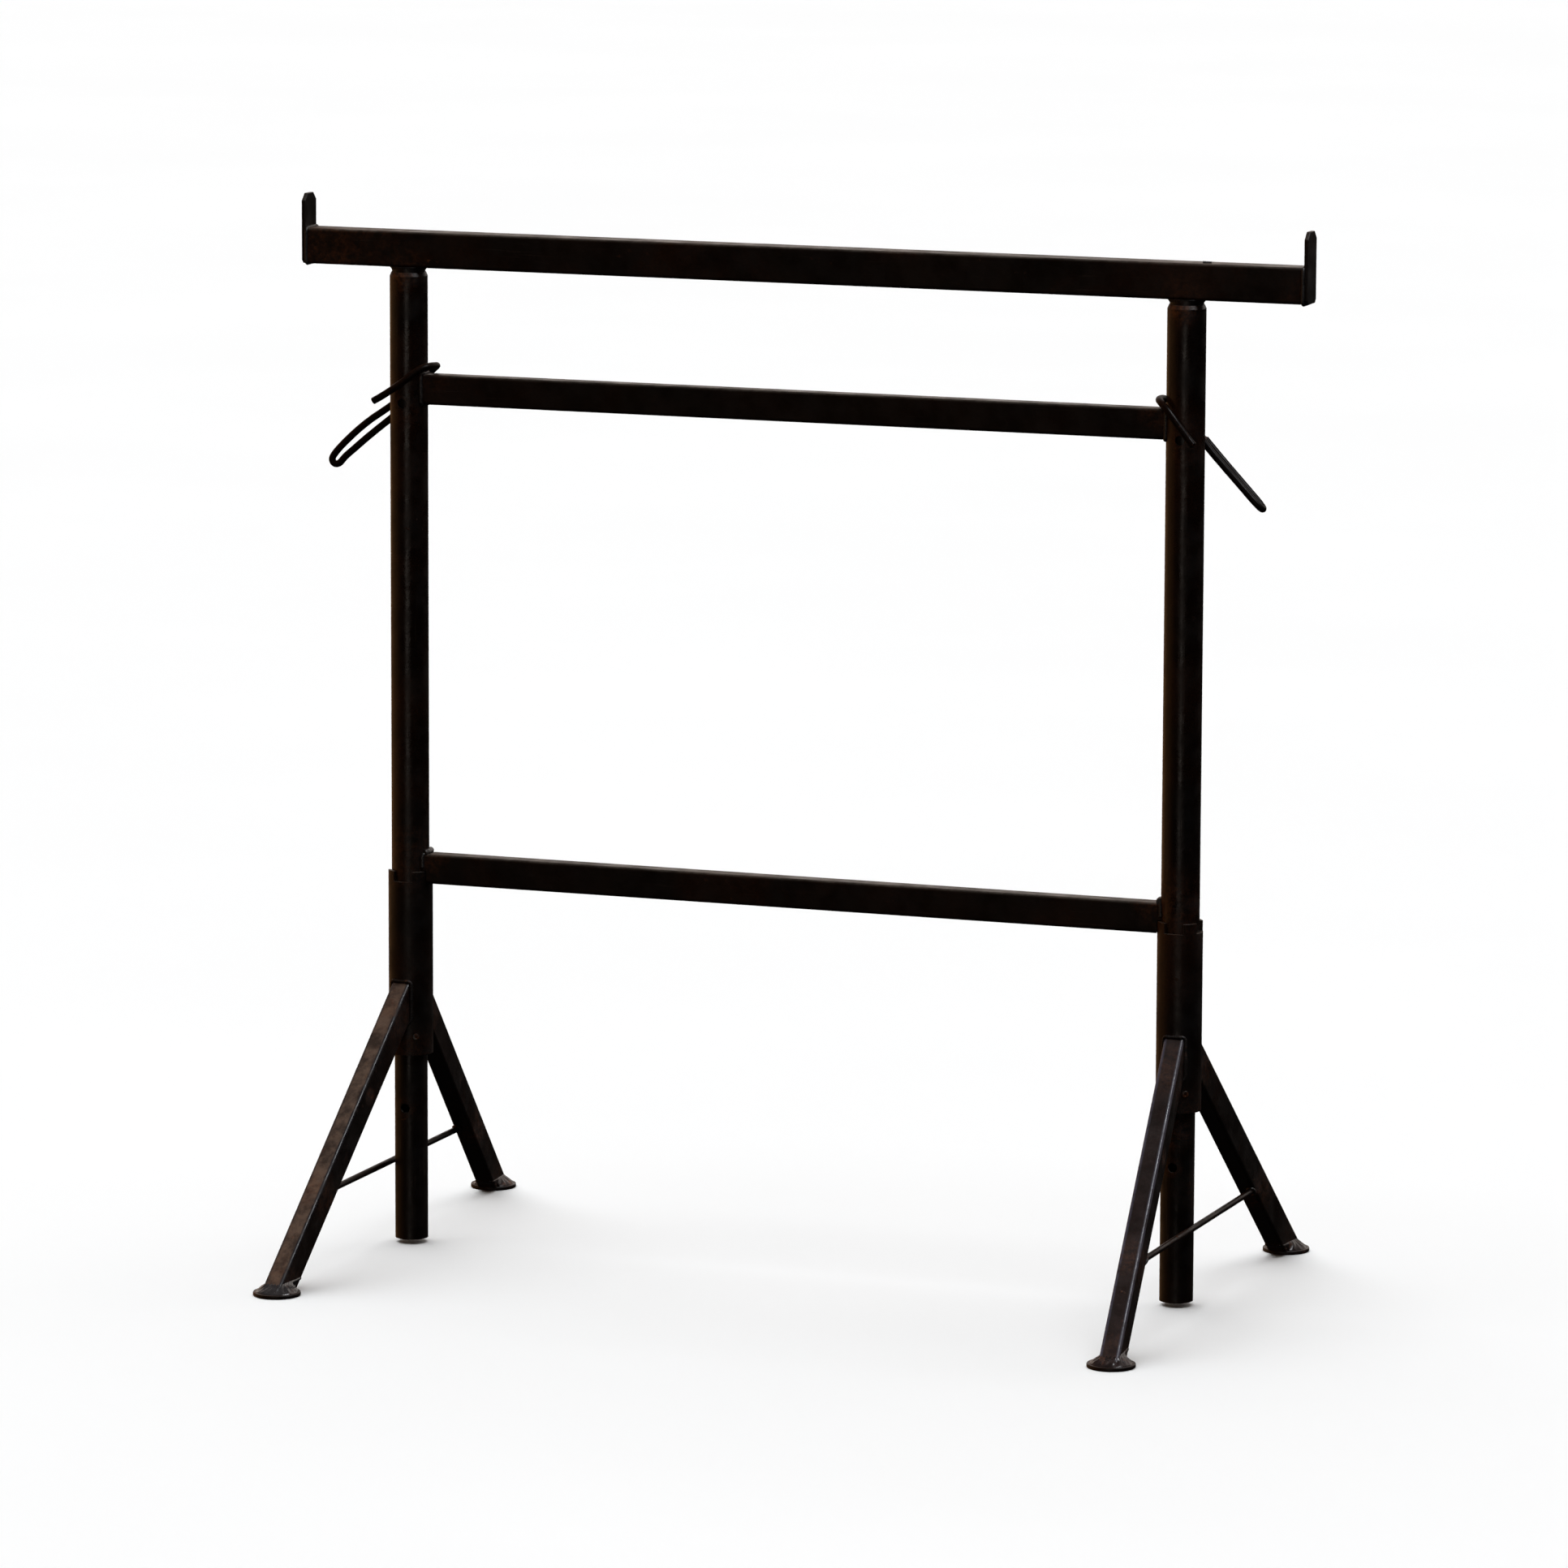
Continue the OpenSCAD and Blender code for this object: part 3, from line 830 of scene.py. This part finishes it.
def leg_top_path(side, end, grow):
    """Where a leg's outline meets the sleeve."""
    apex, down, level, square = leg_axes(side, end)
    path = []
    for u, v in leg_loop(grow):
        start = apex + level * u + square * v
        a = down.x ** 2 + down.y ** 2
        b = 2 * ((start.x - apex.x) * down.x + (start.y - apex.y) * down.y)
        c = (start.x - apex.x) ** 2 + (start.y - apex.y) ** 2 - (SLEEVE_R + grow * 0.6) ** 2
        t = (-b + math.sqrt(max(b * b - 4 * a * c, 0.0))) / (2 * a)
        path.append(start + down * t)
    return path


def leg_bottom_path(side, end, grow, height):
    """Where a leg's outline meets a level plane."""
    apex, down, level, square = leg_axes(side, end)
    path = []
    for u, v in leg_loop(grow):
        start = apex + level * u + square * v
        path.append(start + down * ((height - start.z) / down.z))
    return path


def foot_plate(side, end, material):
    """Round ground plate with a rounded, slightly uneven rim."""
    node = f"{side}_{end}_plate"
    middle = centre(node)
    rim = 0.0012
    bent = rim * 0.3
    rings = [(PLATE_R * share, 0.0) for share in (0.0, 0.4, 0.8)]
    rings += [(PLATE_R - rim, 0.0), (PLATE_R - bent, bent), (PLATE_R, rim)]
    rings += [(PLATE_R, PLATE_T - rim), (PLATE_R - bent, PLATE_T - bent), (PLATE_R - rim, PLATE_T)]
    rings += [(PLATE_R * share, PLATE_T) for share in (0.86, 0.7, 0.4, 0.0)]
    bm = bmesh.new()
    count = 72
    rows = []
    for radius, z in rings:
        if radius == 0.0:
            rows.append([bm.verts.new((middle.x, middle.y, z))])
            continue
        row = []
        for k in range(count):
            angle = 2 * math.pi * k / count
            dent = 0.0
            if z >= rim:
                dent = 0.0003 * noise.noise(Vector((radius * 90, angle * 2, z * 50 + middle.y)))
            x = middle.x + (radius + min(dent, 0)) * math.cos(angle)
            y = middle.y + (radius + min(dent, 0)) * math.sin(angle)
            row.append(bm.verts.new((x, y, z)))
        rows.append(row)
    bridge_rows(bm, rows)
    piece = add_piece(f"{node}_disc", bm, f"{side}_foot", material, (node,))
    flat_shade_large(piece)
    return piece


def bridge_rows(bm, rows):
    """Joins rings of points into a skin; a row of one point closes it."""
    for low, high in zip(rows, rows[1:]):
        count = max(len(low), len(high))
        for k in range(count):
            j = (k + 1) % count
            if len(low) == 1:
                bm.faces.new((low[0], high[j], high[k]))
            elif len(high) == 1:
                bm.faces.new((low[k], low[j], high[0]))
            else:
                bm.faces.new((low[k], low[j], high[j], high[k]))


def foot_welds(side, materials):
    """All the welds of one foot."""
    body = side + "_foot"
    sign = SIDES[side]
    for end, way in ENDS.items():
        seed = 50 + sign * 3 + way
        top = leg_top_path(side, end, 0.0012)
        bead(f"weld_{side}_{end}_leg_top", top, LEG_BEAD, body, materials["weld_dull"],
             seed=seed)
        dome = "weld_pale" if (side, end) == ("left", "front") else "weld_dark"
        weld_dome(side, end, materials[dome], seed + 10)
        brace_weld(side, end, materials["weld_rusty"], seed + 20)


def weld_dome(side, end, material, seed):
    """Thick uneven weld that climbs from the plate's rim to the leg."""
    middle = centre(f"{side}_{end}_plate")
    top = resample(leg_bottom_path(side, end, -0.0004, PLATE_T + DOME_TUCK), 0.0012, True)
    lift = resample(leg_bottom_path(side, end, 0.0008, PLATE_T + DOME_CLIMB), 0.0012, True)
    count = len(top)
    lift = [lift[round(i * len(lift) / count) % len(lift)] for i in range(count)]
    angles = [math.atan2(p.y - middle.y, p.x - middle.x) for p in lift]
    foot = PLATE_T - DOME_SINK
    rows = []
    steps = 9
    for j in range(steps + 1):
        share = j / steps
        swell = math.sin(math.pi * min(1, share + 0.12)) ** 0.7
        row = []
        for angle, start in zip(angles, lift):
            across = math.cos(angle)
            along = math.sin(angle)
            reach = PLATE_R * (0.93 + 0.035 * noise.noise(Vector((across * 3, along * 3, seed))))
            rim = Vector((middle.x + reach * across, middle.y + reach * along, foot))
            point = start.lerp(rim, share)
            point.z = foot + (start.z - PLATE_T) * (1 - share) ** 0.8 * (1 - 0.25 * share)
            outward = Vector((across, along, 0.9)).normalized()
            lump = noise.noise(point * 75 + Vector((seed, 0, 0))) * 0.0016
            ripple = 0.0006 * math.sin(angle * 17 + 3 * noise.noise(point * 40) + share * 5)
            row.append(point + outward * (lump + ripple) * swell)
        rows.append(row)
    under = [p.lerp(Vector((middle.x, middle.y, p.z)), 0.2) for p in rows[-1]]
    for p in under:
        p.z = PLATE_T - 2 * DOME_SINK
    bm = bmesh.new()
    skin = [[bm.verts.new(p) for p in row] for row in [top] + rows + [under]]
    bridge_rows(bm, skin)
    bm.faces.new(list(reversed(skin[0])))
    bm.faces.new(skin[-1])
    add_piece(f"weld_{side}_{end}_leg_base", bm, side + "_foot", material)


def brace_weld(side, end, material, seed):
    """Small blob where the brace rod meets the leg's underside."""
    apex, _, _, square = leg_axes(side, end)
    rod = centre(side + "_brace_rod")
    inward = square if square.z < 0 else -square
    path = []
    for k in range(24):
        angle = 2 * math.pi * k / 24
        x = rod.x + (ROD_R + 0.0006) * math.cos(angle)
        z = rod.z + (ROD_R + 0.0006) * math.sin(angle)
        offset = (x - apex.x) * inward.x + (z - apex.z) * inward.z
        y = apex.y + (LEG_HEIGHT / 2 + 0.0006 - offset) / inward.y
        path.append(Vector((x, y, z)))
    bead(f"weld_{side}_{end}_brace", path, BRACE_BEAD, side + "_foot", material, seed=seed)


# ---------------------------------------------------------------- locking pins

# bent rods as (distance outward from the post axis, y, height), from the free end to the end of the handle
PIN_ROUTES = {
    "left": [
        (0.037, -0.0296, 1.0935), (0.024, -0.0296, 1.1010), (0.010, -0.0298, 1.1100),
        (-0.006, -0.0296, 1.1215), (-0.018, -0.0268, 1.1312), (-0.0275, -0.0205, 1.1375),
        (-0.0335, -0.0115, 1.1390), (-0.0360, 0.0, 1.1386), (-0.0335, 0.0115, 1.1372),
        (-0.0275, 0.0205, 1.1340), (-0.018, 0.0272, 1.1270), (-0.004, 0.0302, 1.1145),
        (0.020, 0.0302, 1.0940), (0.046, 0.0302, 1.0755), (0.066, 0.0304, 1.0620),
        (0.085, 0.0306, 1.0470), (0.104, 0.0308, 1.0295), (0.1155, 0.0308, 1.0170),
        (0.1200, 0.0308, 1.0090), (0.1170, 0.0308, 1.0030), (0.1100, 0.0308, 1.0040),
        (0.1010, 0.0308, 1.0135), (0.088, 0.0306, 1.0245), (0.072, 0.0304, 1.0380),
        (0.056, 0.0302, 1.0508), (0.038, 0.0302, 1.0648), (0.022, 0.0302, 1.0770),
    ],
    "right": [
        (0.0195, -0.0296, 1.0865), (0.012, -0.0296, 1.0955), (0.001, -0.0298, 1.1095),
        (-0.009, -0.0296, 1.1222), (-0.019, -0.0258, 1.1322), (-0.0275, -0.0175, 1.1374),
        (-0.0325, -0.0060, 1.1388), (-0.0325, 0.0070, 1.1386), (-0.0275, 0.0180, 1.1355),
        (-0.019, 0.0264, 1.1280), (-0.008, 0.0300, 1.1155), (0.004, 0.0302, 1.0985),
        (0.020, 0.0302, 1.0770), (0.038, 0.0302, 1.0575), (0.055, 0.0304, 1.0395),
        (0.072, 0.0306, 1.0215), (0.0830, 0.0312, 1.0100), (0.0885, 0.0345, 1.0042),
        (0.0885, 0.0395, 1.0042), (0.0830, 0.0425, 1.0100), (0.071, 0.0430, 1.0228),
        (0.054, 0.0430, 1.0408), (0.037, 0.0428, 1.0590), (0.012, 0.0426, 1.0865),
    ],
}


def locking_pin(side, materials):
    """Hand-bent rod hung round the post, its handle folded back and tacked to itself."""
    sign = SIDES[side]
    route = [Vector((POST_X[side] + sign * out, y, z)) for out, y, z in PIN_ROUTES[side]]
    path = resample(smooth_curve(route), 0.0016, False)
    radii = [PIN_R * (1 + 0.02 * noise.noise(p * 140)) for p in path]
    bm = bmesh.new()
    sweep(bm, path, radii, False, 20)
    node = "locking_pin_" + side
    add_piece(node + "_rod", bm, side + "_pin", materials["rod"], (node,))
    last = route[-1]
    beside = min(path[: len(path) // 2 + 20], key=lambda p: (p - last).length)
    tack = [last.lerp(beside, t) for t in (0.12, 0.3, 0.5, 0.7, 0.88)]
    bead(node + "_tack", tack, TACK_BEAD, side + "_pin", materials["weld_rusty"],
         closed=False, seed=90 + sign)


# ---------------------------------------------------------------- stage


def make_camera():
    """Long lens from the front, a little above the object and to its right."""
    forward = Vector((
        -math.sin(CAMERA_YAW) * math.cos(CAMERA_PITCH),
        math.cos(CAMERA_YAW) * math.cos(CAMERA_PITCH),
        -math.sin(CAMERA_PITCH),
    ))
    right = Vector((math.cos(CAMERA_YAW), math.sin(CAMERA_YAW), 0))
    turn = Matrix.Rotation(-CAMERA_ROLL, 3, forward)
    right = turn @ right
    up = right.cross(forward)
    data = bpy.data.cameras.new("camera")
    data.lens = CAMERA_LENS
    data.sensor_width = 36.0
    data.clip_start = 0.5
    data.clip_end = 400.0
    camera = bpy.data.objects.new("camera", data)
    bpy.context.scene.collection.objects.link(camera)
    turned = Matrix((right, up, -forward)).transposed().to_4x4()
    camera.matrix_world = Matrix.Translation(CAMERA_PLACE) @ turned
    bpy.context.scene.camera = camera


def make_floor():
    """Wide pale floor that only the camera sees, so that it adds no light to the object."""
    bm = bmesh.new()
    bmesh.ops.create_circle(bm, cap_ends=True, radius=80.0, segments=96)
    mesh = bpy.data.meshes.new("floor")
    bm.to_mesh(mesh)
    bm.free()
    floor = bpy.data.objects.new("floor", mesh)
    bpy.context.scene.collection.objects.link(floor)
    mesh.materials.append(floor_material())
    floor.visible_diffuse = False
    floor.visible_glossy = False


def make_lights():
    """A broad overhead light for the floor and a softbox above on the right for the highlights."""
    sun = bpy.data.lights.new("overhead", "SUN")
    sun.energy = 2.75
    sun.angle = math.radians(75)
    lamp = bpy.data.objects.new("overhead", sun)
    bpy.context.scene.collection.objects.link(lamp)
    lamp.rotation_euler = Vector((-0.25, 0.12, 1.0)).to_track_quat("Z", "Y").to_euler()
    lamp.visible_glossy = False
    box = bpy.data.lights.new("softbox", "AREA")
    box.shape = "RECTANGLE"
    box.size = 1.8
    box.size_y = 1.2
    box.energy = 190
    box.color = (0.94, 0.96, 1.0)
    softbox = bpy.data.objects.new("softbox", box)
    bpy.context.scene.collection.objects.link(softbox)
    softbox.visible_diffuse = False
    place = Vector((2.8, -0.55, 4.4))
    softbox.location = place
    softbox.rotation_euler = (place - Vector((0, 0, 0.5))).to_track_quat("Z", "Y").to_euler()


class Sky:
    """Short-hand for building the world's nodes."""

    def __init__(self, tree):
        self.tree = tree
        coords = tree.nodes.new("ShaderNodeTexCoord")
        split = tree.nodes.new("ShaderNodeSeparateXYZ")
        tree.links.new(coords.outputs["Generated"], split.inputs[0])
        self.x, self.y, self.z = split.outputs

    def step(self, source, low, high, top=1.0, bottom=0.0):
        """Smooth step along one direction of the surroundings."""
        node = self.tree.nodes.new("ShaderNodeMapRange")
        node.interpolation_type = "SMOOTHSTEP"
        self.tree.links.new(source, node.inputs["Value"])
        node.inputs["From Min"].default_value = low
        node.inputs["From Max"].default_value = high
        node.inputs["To Min"].default_value = bottom
        node.inputs["To Max"].default_value = top
        return node.outputs["Result"]

    def calc(self, operation, a, b):
        """One sum of two sockets or plain values."""
        node = self.tree.nodes.new("ShaderNodeMath")
        node.operation = operation
        for value, target in ((a, node.inputs[0]), (b, node.inputs[1])):
            if isinstance(value, float):
                target.default_value = value
            else:
                self.tree.links.new(value, target)
        return node.outputs[0]

    def product(self, *parts):
        total = parts[0]
        for part in parts[1:]:
            total = self.calc("MULTIPLY", total, part)
        return total

    def light(self, strength, tint):
        """Tinted glow of a varying strength."""
        node = self.tree.nodes.new("ShaderNodeBackground")
        self.tree.links.new(strength, node.inputs["Strength"])
        node.inputs["Color"].default_value = (*tint, 1.0)
        return node.outputs[0]

    def add(self, a, b):
        node = self.tree.nodes.new("ShaderNodeAddShader")
        self.tree.links.new(a, node.inputs[0])
        self.tree.links.new(b, node.inputs[1])
        return node.outputs[0]


def make_world():
    """Studio surroundings, seen white by the camera and by reflections as a dim room.

    The room is bright above and behind, warm on the left, and dark in front with one tall strip light.
    """
    world = bpy.data.worlds.new("studio")
    world.use_nodes = True
    bpy.context.scene.world = world
    tree = world.node_tree
    tree.nodes.clear()
    sky = Sky(tree)
    horizon = sky.product(sky.step(sky.z, 0.03, 0.13), sky.step(sky.z, 0.35, 0.9, 0.45, 1.0))
    behind = sky.product(sky.step(sky.y, 0.2, 0.8), horizon)
    above = sky.product(sky.step(sky.z, 0.45, 1.0, 0.22), sky.step(sky.y, -0.7, 0.2, 1.0, 0.3))
    cool = sky.light(sky.calc("ADD", sky.calc("ADD", behind, above), 0.012), (1.0, 0.90, 0.84))
    left = sky.step(sky.calc("MULTIPLY", sky.x, -1.0), 0.25, 0.85)
    low = sky.step(sky.calc("ABSOLUTE", sky.z, 0.0), 0.1, 0.7, 0.0, 1.0)
    warm = sky.light(sky.product(left, low, sky.step(sky.y, -0.9, -0.2, 0.38, 0.08)), (1.0, 0.5, 0.2))
    ahead = sky.calc("ADD", sky.product(sky.x, 0.149), sky.product(sky.y, -0.989))
    strip_ends = sky.product(sky.step(sky.z, -0.55, -0.35), sky.step(sky.z, 0.1, 0.3, 0.0, 1.8))
    strip = sky.product(sky.step(ahead, 0.975, 0.992), strip_ends)
    total = sky.add(sky.add(cool, warm), sky.light(strip, (1.0, 0.9, 0.8)))
    plain = tree.nodes.new("ShaderNodeBackground")
    plain.inputs["Color"].default_value = (1.0, 1.0, 1.0, 1.0)
    rays = tree.nodes.new("ShaderNodeLightPath")
    choose = tree.nodes.new("ShaderNodeMixShader")
    tree.links.new(rays.outputs["Is Camera Ray"], choose.inputs[0])
    tree.links.new(total, choose.inputs[1])
    tree.links.new(plain.outputs[0], choose.inputs[2])
    out = tree.nodes.new("ShaderNodeOutputWorld")
    tree.links.new(choose.outputs[0], out.inputs["Surface"])


materials = make_materials()
paint_frame(materials)
for side in SIDES:
    end_stop(side, materials["stop"])
    for end in ENDS:
        foot_plate(side, end, materials["plate"])
    foot_welds(side, materials)
    locking_pin(side, materials)
head_welds(materials)
rail_welds(materials)
make_camera()
make_floor()
make_lights()
make_world()
bpy.context.scene.view_settings.view_transform = "Standard"
